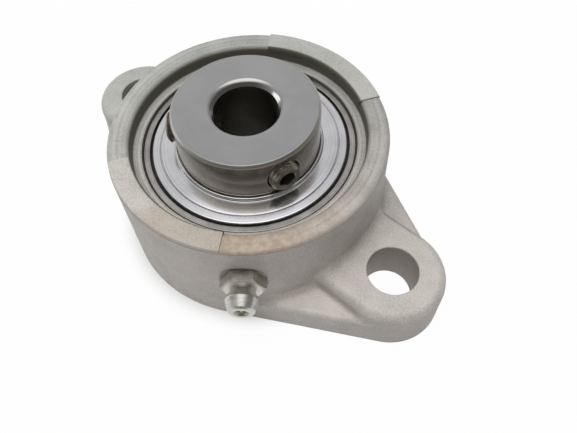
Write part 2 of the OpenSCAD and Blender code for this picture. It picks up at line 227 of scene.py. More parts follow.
def feed(inputs, **values):
    for name, value in values.items():
        socket = inputs[name.replace("_", " ")]
        if isinstance(value, Flow):
            value.tree.links.new(value.socket, socket)
        else:
            socket.default_value = value


def coordinates(place):
    split = place.node("ShaderNodeSeparateXYZ", {}, {0: place}).socket.node
    return [Flow(place.tree, socket) for socket in split.outputs]


def distance(x, y):
    return x.maths("SQRT", x * x + y * y)


def angleRound(x, y):
    return x.maths("ARCTAN2", y, x)


def alongLine(place, direction):
    sockets = {0: place, 1: direction}
    return place.node("ShaderNodeVectorMath", {"operation": "DOT_PRODUCT"}, sockets, out="Value")


def onAxis(place, axis):
    # the same place, seen from a frame whose Z is the axis
    back = axis.to_3x3().inverted()
    shift = -(back @ axis.translation) * mm
    sockets = {"Vector": place, "Location": shift, "Rotation": back.to_euler()}
    return place.node("ShaderNodeMapping", {"vector_type": "POINT"}, sockets)


# finishes, with lengths in metres and scales per metre

noiseSpan = (0.3, 0.7)  # most of a noise lies between these
recessShade = (0.115, 0.112, 0.086, 1)  # painted shade: dark colour on the wall of the recess and the inner sides of the pads
castFinish = {
    "dark": (0.372, 0.362, 0.348, 1),
    "light": (0.592, 0.582, 0.566, 1),
    "grain": 3300,  # blasted grain
    "mottle": 240,
    "patch": 48,
    "shares": (0.22, 0.55, 0.23),  # of mottle, grain and patches
    "contrast": (0.35, 0.65),
    "metallic": 0.20,
    "rough": (0.50, 0.66),
    "pit": (0.7, 0.00006),  # strength and depth of the relief
    "pitMottle": 0.4,
    "filmTo": (0.0243, 0.0246),
    "hole": (0.80, 0.77, 0.75, 1),  # painted shade darkening the bolt holes' walls
    "holeEdge": (0.00001, 0.0001),
    "smear": (0.82, 0.79, 0.73, 1),  # stain that runs onto the near marking pad
    "smearFrom": (-1.72, -1.45),  # angles round the rim, in radians
    "smearTo": (-1.0, -0.8),
    "smearStray": 0.6,
    "smearHeight": (0.0256, 0.0261),
    "crease": (0.89, 0.885, 0.88, 1),  # painted shade along the sides of the lands, in their creases
    "creaseHeight": [(0.0071, 0.0078), (0.0102, 0.0111)],
    "brink": (0.70, 0.69, 0.69, 1),  # painted shade on their far edges, which turn from the light
    "brinkHeight": [(0.0088, 0.0096), (0.0109, 0.01117)],
    "brinkSide": (0.0080, 0.0092),
    "creaseEnd": (0.0365, 0.0395),
    "creaseStart": (0.0290, 0.0305),
    "creaseFromHole": (0.0, 0.001),
}
# painted light: a warm and cool hue drift across the casting and the rim, with painted shade on the far side and
# the far ear
castPaintedLight = {
    "cool": (0.965, 1.0, 0.965, 1),
    "warm": (1.0, 0.955, 0.935, 1),
    "along": (0.75, -0.66, 0.0),
    "reach": (-0.025, 0.025),
    "dull": grey(0.82),
    "across": (0.05, -1.0, 0.0),  # painted shade: the far side is a little darker
    "dullReach": (-0.030, 0.016),
    "ear": grey(0.86),  # painted shade: the far ear is darker still
    "earReach": (-0.037, -0.028),
}


def withPaintedLight(place, colour, v):
    # painted light and shade, multiplied into the colour
    tint = mixColour(ease(alongLine(place, v["along"]), *v["reach"]), v["cool"], v["warm"])
    shade = mixColour(ease(alongLine(place, v["across"]), *v["dullReach"]), v["dull"], grey(1.0))
    shade = mixColour(fade(coordinates(place)[0], *v["earReach"]), shade, v["ear"], "MULTIPLY")
    return mixColour(1.0, mixColour(1.0, colour, tint, "MULTIPLY"), shade, "MULTIPLY")


def castSteel(v):
    material, place, inputs = startMaterial("castSteel")
    x, y, height = coordinates(place)
    radius = distance(x, y)
    mottle = noise(place, v["mottle"], detail=4.0, rough=0.6)
    grain = noise(place, v["grain"], rough=0.6)
    patch = noise(place, v["patch"], detail=2.0)
    tone = ease(weigh(v["shares"], mottle, grain, patch), *v["contrast"])
    colour = withPaintedLight(place, mixColour(tone, v["dark"], v["light"]), castPaintedLight)
    # painted shade on the inner sides of the pads
    colour = mixColour(fade(radius, *v["filmTo"]), colour, recessShade)
    angle = angleRound(x, y)
    smear = ease(angle + (patch - 0.5) * v["smearStray"], *v["smearFrom"])
    smear = smear * fade(angle, *v["smearTo"]) * ease(height, *v["smearHeight"])
    colour = mixColour(smear, colour, v["smear"], "MULTIPLY")
    side = x.maths("ABSOLUTE", x)
    fromHole = distance(side - shared["boltX"] * mm, y) - shared["boltHoleR"] * mm
    beside = fade(side, *v["creaseEnd"]) * ease(radius, *v["creaseStart"])
    beside = beside * ease(fromHole, *v["creaseFromHole"])
    # painted shade in the creases along the lands, and on their far edges
    crease = within(height, *v["creaseHeight"])
    brink = within(height, *v["brinkHeight"]) * ease(y, *v["brinkSide"])
    colour = mixColour(crease * beside, colour, v["crease"], "MULTIPLY")
    colour = mixColour(brink * beside, colour, v["brink"], "MULTIPLY")
    feed(
        inputs,
        # painted shade darkens the walls of the bolt holes
        Base_Color=mixColour(fade(fromHole, *v["holeEdge"]), colour, v["hole"], "MULTIPLY"),
        Roughness=ease(grain, *noiseSpan, *v["rough"]),
        Metallic=v["metallic"],
        Normal=bump(grain + mottle * v["pitMottle"], *v["pit"]),
    )
    return material


turnedFinish = {
    "dark": (0.295, 0.29, 0.28, 1),
    "light": (0.50, 0.495, 0.485, 1),
    "marks": 5200,  # tool marks
    "wide": 5200 / 9,  # and broader ones
    "slant": 0.37,  # how much the marks of a face run on up its wall
    "spread": 190,
    "grain": 3600,
    "shares": (0.22, 0.38, 0.15, 0.25),  # of marks, wide marks, spread and grain
    "contrast": (0.41, 0.59),
    "stain": [(0.305, 0.238, 0.160, 1), (0.445, 0.362, 0.272, 1)],
    "stainBare": 0.28,  # share of bare steel that shows in the stain
    "stainLeast": 0.4,
    "blotch": 700,
    "blotchContrast": (0.36, 0.64),
    "stainAngles": [(-1.45, -1.15), (-0.80, 0.30)],  # round the rim, in radians
    "stainStray": 0.5,
    "stainHeight": (0.0240, 0.0256),
    # painted shade on the wall of the recess, between these heights
    "wallHeight": [(0.02268, 0.0230), (0.0251, 0.0256)],
    "gap": (0.050, 0.045, 0.036, 1),  # painted shade in the narrow space round the ring, at the mouth of the seat
    "gapTo": (0.02242, 0.02252),
    "gapFrom": (0.0212, 0.0216),
    "ledge": [(0.66, 0.65, 0.58, 1), (0.50, 0.485, 0.44, 1)],  # the ledge's colour: lighter towards the left, darker towards the right
    "ledgeSides": (-0.02, 0.01),
    "ledgeHeight": [(0.0222, 0.0223), (0.02248, 0.0226)],
    "ledgeWear": (0.4, 0.8),  # least wear, and how much the marks add
    "metallic": 0.25,
    "rough": (0.48, 0.64),
    "relief": (0.35, 0.00003),
}


def turnedSteel(v):
    material, place, inputs = startMaterial("turnedSteel")
    x, y, height = coordinates(place)
    radius = distance(x, y)
    marks = lines(radius + height * v["slant"], v["marks"])
    wide = lines(radius + height * v["slant"], v["wide"])
    spread = noise(place, v["spread"])
    grain = noise(place, v["grain"], rough=0.6)
    tone = ease(weigh(v["shares"], marks, wide, spread, grain), *v["contrast"])
    steel = mixColour(tone, v["dark"], v["light"])
    blotch = ease(noise(place, v["blotch"], rough=0.65), *v["blotchContrast"])
    rust = mixColour(v["stainBare"], mixColour(blotch, *v["stain"]), steel)
    angle = angleRound(x, y) + (spread - 0.5) * v["stainStray"]
    stain = within(angle, *v["stainAngles"]) * ease(height, *v["stainHeight"])
    stained = mixColour(stain * (v["stainLeast"] + wide), steel, rust)
    # the rim takes the same painted light and shade
    colour = withPaintedLight(place, stained, castPaintedLight)
    # painted shade on the wall of the recess
    colour = mixColour(within(height, *v["wallHeight"]), colour, recessShade)
    ledge = within(height, *v["ledgeHeight"])
    # the ledge is lighter towards the left and darker towards the right
    ledgeTone = mixColour(ease(x, *v["ledgeSides"]), *v["ledge"])
    least, more = v["ledgeWear"]
    colour = mixColour(ledge * (least + marks * more), colour, ledgeTone)
    # painted shade in the narrow space round the ring
    gap = fade(radius, *v["gapTo"]) * ease(height, *v["gapFrom"])
    feed(
        inputs,
        Base_Color=mixColour(gap, colour, v["gap"]),
        Roughness=ease(marks, *noiseSpan, *v["rough"]),
        Metallic=v["metallic"] * (1 - ledge),
        Normal=bump(marks + wide, *v["relief"]),
    )
    return material


latheLook = {
    "slant": 0.61,  # how much the tool marks of a face run on up its wall
    "haze": (3.0, 0.5),  # detail and roughness of the haze
    "shares": (0.55, 0.45),  # of tool marks and haze
    "contrast": (0.33, 0.67),
    "roughShares": (0.5, 0.5),
    "roughContrast": (0.35, 0.65),
    "reliefShares": (1.0, 0.0),
    "bite": 0.00002,
}
axisLook = {
    "slant": 0.61,
    "haze": (4.0, 0.6),
    "shares": (0.4, 0.6),
    "contrast": (0.35, 0.65),
    "roughShares": (0.0, 1.0),
    "roughContrast": noiseSpan,
    "reliefShares": (0.6, 0.4),
    "bite": 0.00003,
}


def brightSteel(name, v, axis=None):
    # steel turned about the shaft's line, or a small piece on an axis of its own
    material, place, inputs = startMaterial(name)
    look = latheLook
    if axis is not None:
        look = axisLook
        place = onAxis(place, axis)
    x, y, height = coordinates(place)
    radius = distance(x, y)
    marks = lines(radius + height * look["slant"], v["marks"])
    haze = noise(place, v["haze"], *look["haze"])
    tone = ease(weigh(look["shares"], marks, haze), *look["contrast"])
    colour = mixColour(tone, v["dark"], v["light"])
    rough = ease(weigh(look["roughShares"], marks, haze), *look["roughContrast"], *v["rough"])
    if "side" in v:
        # painted reflection tint on the upright side, where one is given
        colour = mixColour(ease(radius, *v["sideFrom"]), colour, v["side"], "MULTIPLY")
    if "edge" in v:
        rough = rough + ease(radius, *v["edgeFrom"], 0.0, v["edge"]) * ease(height, *v["edgeUp"])
    if "zone" in v:
        zone = ease(height, *v["zoneFrom"]) * fade(radius, *v["zoneTo"])
        colour = mixColour(zone, colour, v["zone"])
    relief = bump(weigh(look["reliefShares"], marks, haze), v["depth"], look["bite"])
    metal = v.get("metallic", 1.0)
    feed(inputs, Base_Color=colour, Roughness=rough, Metallic=metal, Normal=relief)
    return material


ringFinish = {
    "dark": (0.31, 0.295, 0.277, 1),
    "light": (0.52, 0.50, 0.47, 1),
    "marks": 6500,
    "haze": 300,
    "rough": (0.22, 0.36),
    "depth": 0.30,
}
collarFinish = {
    "dark": (0.405, 0.40, 0.398, 1),
    "light": (0.468, 0.463, 0.461, 1),
    "marks": 7000,
    "haze": 160,
    "rough": (0.16, 0.20),
    "depth": 0.015,
    "side": (0.90, 0.83, 0.72, 1),  # painted reflection: brownish tint on the upright side, for what it mirrors
    "sideFrom": (0.01445, 0.01465),
    "edge": 0.22,  # how much rougher the bevel round the collar's face is
    "edgeFrom": (0.0140, 0.0143),
    "edgeUp": (0.0316, 0.0319),
}
slingerFinish = {
    "dark": (0.655, 0.65, 0.672, 1),
    "light": (0.795, 0.79, 0.812, 1),
    "marks": 4200,
    "haze": 220,
    "rough": (0.17, 0.23),
    "depth": 0.03,
}
ballFinish = {
    "dark": grey(0.70),
    "light": grey(0.80),
    "marks": 900,
    "haze": 400,
    "rough": (0.05, 0.09),
    "depth": 0.02,
}
cageFinish = {
    "dark": (0.42, 0.41, 0.38, 1),
    "light": (0.58, 0.57, 0.53, 1),
    "marks": 1500,
    "haze": 500,
    "rough": (0.28, 0.42),
    "depth": 0.20,
}
# partly oily steel, partly painted shade: darker steel for the bore and the screw holes
boreFinish = {
    "dark": (0.24, 0.23, 0.20, 1),
    "light": (0.34, 0.33, 0.30, 1),
    "marks": 5200,
    "haze": 260,
    "rough": (0.30, 0.45),
    "depth": 0.25,
}
nippleHexFinish = {
    "dark": (0.265, 0.248, 0.21, 1),
    "light": (0.49, 0.463, 0.40, 1),
    "marks": 4000,
    "haze": 900,
    "rough": (0.34, 0.48),
    "metallic": 0.90,
    "depth": 0.30,
    "zone": (0.60, 0.58, 0.53, 1),  # bright front face
    "zoneFrom": (0.0024, 0.00258),
    "zoneTo": (0.008, 0.009),
}
nippleHeadFinish = {
    "dark": (0.50, 0.485, 0.455, 1),
    "light": (0.64, 0.625, 0.59, 1),
    "marks": 6000,
    "haze": 700,
    "rough": (0.30, 0.42),
    "metallic": 0.95,
    "depth": 0.20,
    "zone": (0.36, 0.35, 0.265, 1),  # greasy mouth
    "zoneFrom": (0.0064, 0.0066),
    "zoneTo": (0.00145, 0.00165),
}
screwFinish = {
    "dark": (0.16, 0.148, 0.118, 1),
    "light": (0.40, 0.375, 0.315, 1),
    "marks": 5000,
    "haze": 1100,
    "rough": (0.32, 0.48),
    "metallic": 0.95,
    "depth": 0.22,
}
springFinish = {
    "dark": (0.40, 0.39, 0.37, 1),
    "light": (0.56, 0.55, 0.52, 1),
    "marks": 7000,
    "haze": 1500,
    "rough": (0.25, 0.38),
    "depth": 0.15,
}
rubberFinish = {
    "dark": (0.010, 0.010, 0.010, 1),
    "light": (0.026, 0.026, 0.027, 1),
    "grain": 3200,
    "dust": 3200 / 12,
    "shares": (0.5, 0.5),  # of grain and dust
    "contrast": (0.35, 0.65),
    "rough": (0.48, 0.68),
    "relief": (0.3, 0.00003),
}


def sealRubber(v):
    material, place, inputs = startMaterial("sealRubber")
    grain = noise(place, v["grain"], detail=4.0)
    dust = noise(place, v["dust"])
    tone = ease(weigh(v["shares"], grain, dust), *v["contrast"])
    feed(
        inputs,
        Base_Color=mixColour(tone, v["dark"], v["light"]),
        Roughness=ease(dust, *noiseSpan, *v["rough"]),
        Normal=bump(grain, *v["relief"]),
    )
    return material


# mesh helpers

def softened(corners, steps=6, guard=0.05):
    # outline of (across, up, round) corners, with each round corner drawn as an arc
    path = []
    count = len(corners)
    for k in range(count):
        here = Vector(corners[k][:2])
        last = Vector(corners[k - 1][:2])
        coming = Vector(corners[(k + 1) % count][:2])
        radius = corners[k][2]
        if radius == 0:
            path.append(here)
            continue
        before = (last - here).normalized()
        after = (coming - here).normalized()
        half = before.angle(after) / 2
        reach = radius / math.tan(half)
        middle = here + (before + after).normalized() * radius / math.sin(half)
        start = here + before * reach
        end = here + after * reach
        fromAngle = math.atan2(*(start - middle).yx)
        sweep = math.atan2(*(end - middle).yx) - fromAngle
        sweep = (sweep + math.pi) % (2 * math.pi) - math.pi
        if (last - here).length > reach + 3 * guard:
            path.append(start + before * guard)
        for s in range(steps + 1):
            turn = fromAngle + sweep * s / steps
            path.append(middle + radius * Vector((math.cos(turn), math.sin(turn))))
        if (coming - here).length > reach + 3 * guard:
            path.append(end + after * guard)
    return path


def arc(radius, fromZ, toZ, steps, centreR=0.0, side=1):
    # points of a circle about (centreR, 0), on its outer or inner side
    return [
        Vector((centreR + side * math.sqrt(radius**2 - z**2), z))
        for z in np.linspace(fromZ, toZ, steps)
    ]


def newPiece(name, points, faces, materials):
    mesh = bpy.data.meshes.new(name)
    mesh.from_pydata([tuple(p) for p in points], [], faces)
    for material in materials:
        mesh.materials.append(material)
    piece = bpy.data.objects.new(name, mesh)
    bpy.context.collection.objects.link(piece)
    return piece


def tidyMesh(piece, merge=0.0005):
    work = bmesh.new()
    work.from_mesh(piece.data)
    bmesh.ops.remove_doubles(work, verts=work.verts, dist=merge)
    bmesh.ops.dissolve_degenerate(work, edges=work.edges, dist=merge)
    bmesh.ops.recalc_face_normals(work, faces=work.faces)
    work.to_mesh(piece.data)
    work.free()


def loft(name, sections, materials, closed=False):
    # skin over sections with equal counts of points, closed to a ring or capped at both ends
    count = len(sections[0])
    last = (len(sections) - 1) * count
    faces = []
    for s in range(len(sections) if closed else len(sections) - 1):
        here = s * count
        ahead = (s + 1) % len(sections) * count
        for k in range(count):
            up = (k + 1) % count
            faces.append((here + k, ahead + k, ahead + up, here + up))
    if not closed:
        faces += [tuple(range(count)), tuple(reversed(range(last, last + count)))]
    piece = newPiece(name, [point for section in sections for point in section], faces, materials)
    tidyMesh(piece)
    return piece


def upright(outline, turn, lift=0.0):
    # outline of (radius, height) points, stood up at an angle round Z
    return [(p[0] * math.cos(turn), p[0] * math.sin(turn), p[1] + lift) for p in outline]


def lathe(name, outline, materials, segments, lift=0.0):
    # closed outline turned about Z, in millimetres
    turns = [2 * math.pi * s / segments for s in range(segments)]
    return loft(name, [upright(outline, turn, lift) for turn in turns], materials, closed=True)


def plug(name, radius, low, high, material, segments):
    outline = [(0, low), (radius, low), (radius, high), (0, high)]
    return lathe(name, outline, [material], segments)


def prism(name, ring, low, high, material):
    return loft(name, [[(x, y, z) for x, y in ring] for z in (low, high)], [material])


def hexagon(flats, turn=0.0):
    corner = flats / math.sqrt(3)
    turns = [turn + math.pi * k / 3 for k in range(6)]
    return [(corner * math.cos(t), corner * math.sin(t)) for t in turns]


def applyModifiers(piece):
    bpy.context.view_layer.update()
    solved = piece.evaluated_get(bpy.context.evaluated_depsgraph_get())
    mesh = bpy.data.meshes.new_from_object(solved)
    piece.modifiers.clear()
    old = piece.data
    piece.data = mesh
    bpy.data.meshes.remove(old)


def join(piece, other, operation):
    step = piece.modifiers.new("solid", "BOOLEAN")
    step.operation = operation
    step.solver = "EXACT"
    step.material_mode = "TRANSFER"
    step.object = other
    applyModifiers(piece)
    bpy.data.objects.remove(other)


def cut(piece, tool):
    join(piece, tool, "DIFFERENCE")


def moveMesh(piece, matrix):
    piece.data.transform(matrix)
    return piece


def finishPiece(piece, body, nodes, sharp=32):
    # millimetres become metres, faces are shaded and the piece takes its place
    piece.data.transform(Matrix.Scale(mm, 4))
    piece.data.shade_smooth()
    piece.data.set_sharp_from_angle(angle=math.radians(sharp))
    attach(piece, body)
    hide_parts(*nodes)
    print("  ", piece.name, len(piece.data.polygons), "faces on", body)


def axisFrame(outward, origin):
    # local +Z looks outward, local +X stays level
    outward = outward.normalized()
    level = Vector((0, 0, 1)).cross(outward).normalized()
    across = outward.cross(level)
    turn = Matrix((level, across, outward)).transposed().to_4x4()
    return Matrix.Translation(origin) @ turn


finishes = {
    "cast": castSteel(castFinish),
    "turned": turnedSteel(turnedFinish),
    "ring": brightSteel("ringSteel", ringFinish),
    "collar": brightSteel("collarSteel", collarFinish),
    "bore": brightSteel("boreSteel", boreFinish),
    "slinger": brightSteel("slingerSteel", slingerFinish),
    "ball": brightSteel("ballSteel", ballFinish),
    "cage": brightSteel("cageSteel", cageFinish),
    "rubber": sealRubber(rubberFinish),
}
print("finishes made:", len(finishes))


# cast housing

casting = {
    "draft": 2.0,
    "earTop": 11.2,
    "plateTop": 7.0,
    "earRound": 2.0,
    "plateRound": 1.0,
    "landBlend": 1.2,  # soft join of the lands with the thin flange
    "bossBlend": 2.5,  # soft join of the boss with what it stands on
    "rimZ": 26.0,
    "rimSpare": 0.6,  # cast above the rim, which the lathe takes off
    "columns": 640,
    "rows": 100,
    "crowd": 0.35,  # how much closer the columns stand at the ears
    "stride": 0.16,
    "settle": 2,  # how often each step is brought back to the skin
    "leastSlope": 0.001,
}
casting["earR"] = housingHigh.x - shared["boltX"]
casting["footR"] = housingHigh.y
tiny = 1e-9  # keeps divisions safe


def roundedBlock(plan, z, top, edge, lean):
    # field of a leaning wall under a flat top, with its upper edge rounded
    side = (plan[0] + z * lean) * math.cos(math.atan(lean)) + edge
    lid = z - top + edge
    out = np.maximum(side, 0)
    over = np.maximum(lid, 0)
    length = np.hypot(out, over)
    field = length + np.minimum(np.maximum(side, lid), 0) - edge
    safe = np.maximum(length, tiny)
    sideShare = np.where(length > tiny, out / safe, side > lid)
    lidShare = np.where(length > tiny, over / safe, side <= lid)
    return field, sideShare * plan[1], sideShare * plan[2], lidShare + sideShare * lean


def softUnion(a, b, reach):
    # two fields join with a fillet, but not where their faces are already in line
    facing = a[1] * b[1] + a[2] * b[2] + a[3] * b[3]
    reach = reach * np.clip(1 - facing, 0, 1) + tiny
    share = np.clip(0.5 + 0.5 * (b[0] - a[0]) / reach, 0, 1)
    mixed = [q + (p - q) * share for p, q in zip(a, b)]
    mixed[0] = mixed[0] - reach * share * (1 - share)
    return mixed


def castField(x, y, z, v):
    lean = math.tan(math.radians(v["draft"]))
    boltX = shared["boltX"]
    radius = np.maximum(np.hypot(x, y), tiny)
    fall = math.cos(math.radians(v["draft"]))
    boss = ((radius - v["footR"] + z * lean) * fall, x / radius, y / radius, lean + 0 * x)
    # straight bar with round ends
    past = np.maximum(np.abs(x) - boltX, 0) * np.sign(x)
    barLength = np.maximum(np.hypot(past, y), tiny)
    bar = (barLength - v["earR"], past / barLength, y / barLength)
    # outline drawn tight round the boss and both ears
    tilt = (v["footR"] - v["earR"]) / boltX
    level = math.sqrt(1 - tilt * tilt)
    across, along = np.abs(y), np.abs(x)
    zone = along * level - across * tilt
    earLength = np.maximum(np.hypot(across, along - boltX), tiny)
    zones = [zone < 0, zone > level * boltX]  # on the boss, and on an ear
    between = across * level + along * tilt - v["footR"]
    hull = np.select(zones, [radius - v["footR"], earLength - v["earR"]], between)
    hullX = np.select(zones, [along / radius, (along - boltX) / earLength], tilt) * np.sign(x)
    hullY = np.select(zones, [across / radius, across / earLength], level) * np.sign(y)
    land = roundedBlock(bar, z, v["earTop"], v["earRound"], lean)
    plate = roundedBlock((hull, hullX, hullY), z, v["plateTop"], v["plateRound"], lean)
    return softUnion(boss, softUnion(land, plate, v["landBlend"]), v["bossBlend"])


def traceColumns(v):
    # follow the casting's skin from the rim down to the mounting face, all columns at once
    even = np.linspace(0, 2 * math.pi, v["columns"], endpoint=False)
    angle = even - v["crowd"] * np.sin(2 * even) / 2
    ux, uy = np.cos(angle), np.sin(angle)
    z = np.full_like(angle, v["rimZ"] + v["rimSpare"])
    at = np.array([v["footR"] - z * math.tan(math.radians(v["draft"])), z])
    track = [at]

    def sense(at):
        # distance to the skin, and which way is straight out of it
        field, nx, ny, nz = castField(at[0] * ux, at[0] * uy, at[1], v)
        normal = np.array([nx * ux + ny * uy, nz])
        size = np.maximum(np.hypot(*normal), v["leastSlope"])
        return field / size, normal / size

    def onward(at, normal, stride):
        return at + stride * np.array([normal[1], -normal[0]])

    while np.any(at[1] > 0):
        half = onward(at, sense(at)[1], v["stride"] / 2)
        coming = onward(at, sense(half)[1], v["stride"])
        for _ in range(v["settle"]):
            field, normal = sense(coming)
            coming = coming - field * normal
        at = np.where(at[1] > 0, coming, at)
        track.append(at)
    track = np.array(track)
    rows = np.linspace(0, 1, v["rows"])
    grid = np.empty((2, v["rows"], v["columns"]))
    for c in range(v["columns"]):
        r, z = track[:, :, c].T
        walk = np.concatenate([[0], np.cumsum(np.hypot(np.diff(r), np.diff(z)))])
        foot = np.interp(0, -z, walk)  # where the column reaches the mounting face
        grid[0, :, c] = np.interp(rows * foot, walk, r)
        grid[1, :, c] = np.interp(rows * foot, walk, z)
    grid[1, -1] = 0
    return grid[0] * ux, grid[0] * uy, grid[1]


def castShell(v):
    rows = np.stack(traceColumns(v), axis=-1).tolist()
    return loft("castHousing", rows, [finishes["cast"]])


insertRoom = {
    "seatR": 23.55,
    "seatHalf": 8.4,
    "seatBevel": 0.45,
    "seatSteps": (12, 5),  # below and above the groove
    "bevelEdge": 0.06,
    "ledgeWidth": 2.25,
    "ledgeRound": 0.3,
    "rimRound": 1.4,
    "rimR": 28.71,
    "rimEdge": 0.8,  # soft round along the outside of the rim
    "rimSweep": (90, 12),  # degrees, from the face round to the side
    "rimSteps": 8,
    "grooveDepth": 0.9,
    "grooveZ": (15.05, 19.42),
    "backBevel": 0.8,
    "spare": 2.0,  # how far the cutter runs past the housing
    "segments": 240,
}


def insertCutter(v):
    centre, spare = shared["centre"], v["spare"]
    mouth = math.sqrt(v["seatR"]**2 - v["seatHalf"]**2)
    recess = mouth + v["ledgeWidth"]
    ledge = centre + v["seatHalf"]
    top = casting["rimZ"]
    grooveLow, grooveHigh = v["grooveZ"]
    groove = v["seatR"] + v["grooveDepth"]
    below, above = v["seatSteps"]
    lowSeat = arc(v["seatR"], -v["seatHalf"], grooveLow - centre, below)
    highSeat = arc(v["seatR"], grooveHigh - centre, v["seatHalf"] - v["seatBevel"], above)
    shift = Vector((0, centre))
    outline = [(0, -spare), (mouth + v["backBevel"] + spare, -spare), (mouth, v["backBevel"])]
    outline += [p + shift for p in lowSeat]
    outline += [(groove, grooveLow), (groove, grooveHigh)]
    outline += [p + shift for p in highSeat]
    corners = [
        tuple(outline[-1]) + (0,),
        (mouth + v["seatBevel"], ledge, v["bevelEdge"]),
        (recess, ledge, v["ledgeRound"]),
        (recess, top, v["rimRound"]),
        (v["rimR"], top, 0),
    ]
    outline += softened(corners)[1:-1]
    edge = v["rimEdge"]
    for turn in np.radians(np.linspace(*v["rimSweep"], v["rimSteps"])):
        outline.append((v["rimR"] - edge + edge * math.cos(turn), top - edge + edge * math.sin(turn)))
    far = v["rimR"] + spare
    outline += [(far, outline[-1][1]), (far, top + spare), (0, top + spare)]
    return lathe("insertCutter", outline, [finishes["turned"]], v["segments"])


boltHoles = {"edge": 0.18, "soft": 0.15, "spare": 2.0, "segments": 96}


def boltCutter(v, side):
    hole, spare = shared["boltHoleR"], v["spare"]
    top = casting["earTop"] - v["edge"]
    corners = [
        (0, -spare, 0),
        (hole + v["edge"] + spare, -spare, 0),
        (hole, v["edge"], 0),
        (hole, top, v["soft"]),
        (hole + spare, top + spare, 0),
        (0, top + spare, 0),
    ]
    cutter = lathe("boltCutter", softened(corners), [finishes["cast"]], v["segments"])
    return moveMesh(cutter, Matrix.Translation((side * shared["boltX"], 0, 0)))


loadingSlots = {"width": 16.4, "reach": 23.75, "steps": 16, "spare": 1.0}


def slotCutter(v):
    swing = math.asin(v["width"] / 2 / v["reach"])
    turns = np.linspace(-swing, swing, v["steps"])
    end = [(v["reach"] * math.cos(t), v["reach"] * math.sin(t)) for t in turns]
    ring = end + [(-x, -y) for x, y in end]
    return prism("slotCutter", ring, -v["spare"], shared["centre"], finishes["turned"])


markingPads = {
    "middles": (90, 270),  # degrees round the rim
    "span": 65,
    "inner": 24.13,
    "outer": 28.62,
    "rise": 0.32,
    "sunk": 1.1,
    "edge": 0.4,
    "innerRound": 0.8,
    "steps": 64,
}


def padBlock(v, middle):
    top = casting["rimZ"] + v["rise"]
    foot = casting["rimZ"] - v["sunk"]
    corners = [
        (v["inner"], foot, 0),
        (v["outer"], foot, 0),
        (v["outer"], top, v["edge"]),
        (v["inner"], top, v["innerRound"]),
    ]
    outline = softened(corners)
    half = v["span"] / 2
    turns = np.radians(np.linspace(middle - half, middle + half, v["steps"] + 1))
    return loft("padBlock", [upright(outline, turn) for turn in turns], [finishes["cast"]])


nippleTip = mountNamed("grease_coupler")
nipple = {
    "tip": Vector(nippleTip["pos_m"]) / mm,
    "axis": Vector(nippleTip["axis"]),
    "length": 7.1,  # from the hexagon's seat to the tip
    "hexThick": 2.6,
    "hexFlats": 7.94,
    "hexTop": 3.55,  # radius of the flat on top of the hexagon
    "hexFall": 30,  # slope of the cone that takes its corners off
    "hexEdge": 0.14,
    "edgeSteps": 3,
    "shankR": 3.175,
    "shankLength": 4.1,
    "shankRound": 0.3,
    "sunk": 0.8,  # how far the shank reaches into the hexagon
    "wayR": 1.45,
    "waySegments": 64,
    "head": [
        # radius, depth below the tip and round: neck, head, shoulder, crown, mouth, grease way
        (2.42, 4.35, 0.2),
        (3.32, 2.5, 0.35),
        (2.62, 0.35, 0.35),
        (2.2532, 0, 0.15),
        (1.38, 0, 0.1),
        (0.96, 0.4, 0.05),
        (0.96, 0.75, 0.1),
        (1.45, 1.9, 0.2),
    ],
    "fit": 0.03,
    "spotR": 4.98,  # flat that the hexagon seats on
    "spotHigh": 3.0,
    "spotRound": 0.15,
    "spotSegments": 72,
    "spare": 2.0,
    "segments": 96,
}
nippleFrame = axisFrame(nipple["axis"], nipple["tip"] - nipple["axis"] * nipple["length"])


def nippleCutter(v):
    hole = v["shankR"] + v["fit"]
    end = -v["shankLength"] - v["spare"]
    corners = [
        (0, end, 0),
        (hole, end, 0),
        (hole, 0, 0),
        (v["spotR"], 0, v["spotRound"]),
        (v["spotR"], v["spotHigh"], 0),
        (0, v["spotHigh"], 0),
    ]
    cutter = lathe("nippleCutter", softened(corners), [finishes["turned"]], v["spotSegments"])
    return moveMesh(cutter, nippleFrame)


housing = castShell(casting)
cut(housing, insertCutter(insertRoom))
cut(housing, slotCutter(loadingSlots))
for side in (-1, 1):
    cut(housing, boltCutter(boltHoles, side))
for middle in markingPads["middles"]:
    join(housing, padBlock(markingPads, middle), "UNION")
cut(housing, nippleCutter(nipple))
finishPiece(housing, "housing", ["flange_housing"])
print("housing cast and turned")


# insert: outer ring, inner ring, slingers

raceway = {"fit": 1.035, "clear": 0.05, "steps": 24}


def ballGroove(v, wall, side):
    # arc of the balls' groove in the plain wall of a ring
    radius = shared["ballR"] * v["fit"]
    centre = shared["pitchR"] + side * (shared["ballR"] + v["clear"] - radius)
    reach = math.sqrt(radius**2 - (wall - centre)**2)
    return arc(radius, -reach, reach, v["steps"], centre, side)


outerRing = {
    "faceWidth": 1.25,
    "bayStep": 2.10,
    "sealInner": 5.44,
    "sealOuter": 6.77,
    "sealBite": 0.4,
    "sealEdge": 0.08,
    "edge": 0.18,
    "skinSteps": 40,
    "skinTrim": 2,  # points of the skin that the rounded edge takes up
    "lubeR": 0.75,
    "lubeZ": 4.47,
    "lubeSpare": 2.0,
    "lubeSegments": 32,
    "segments": 224,
}


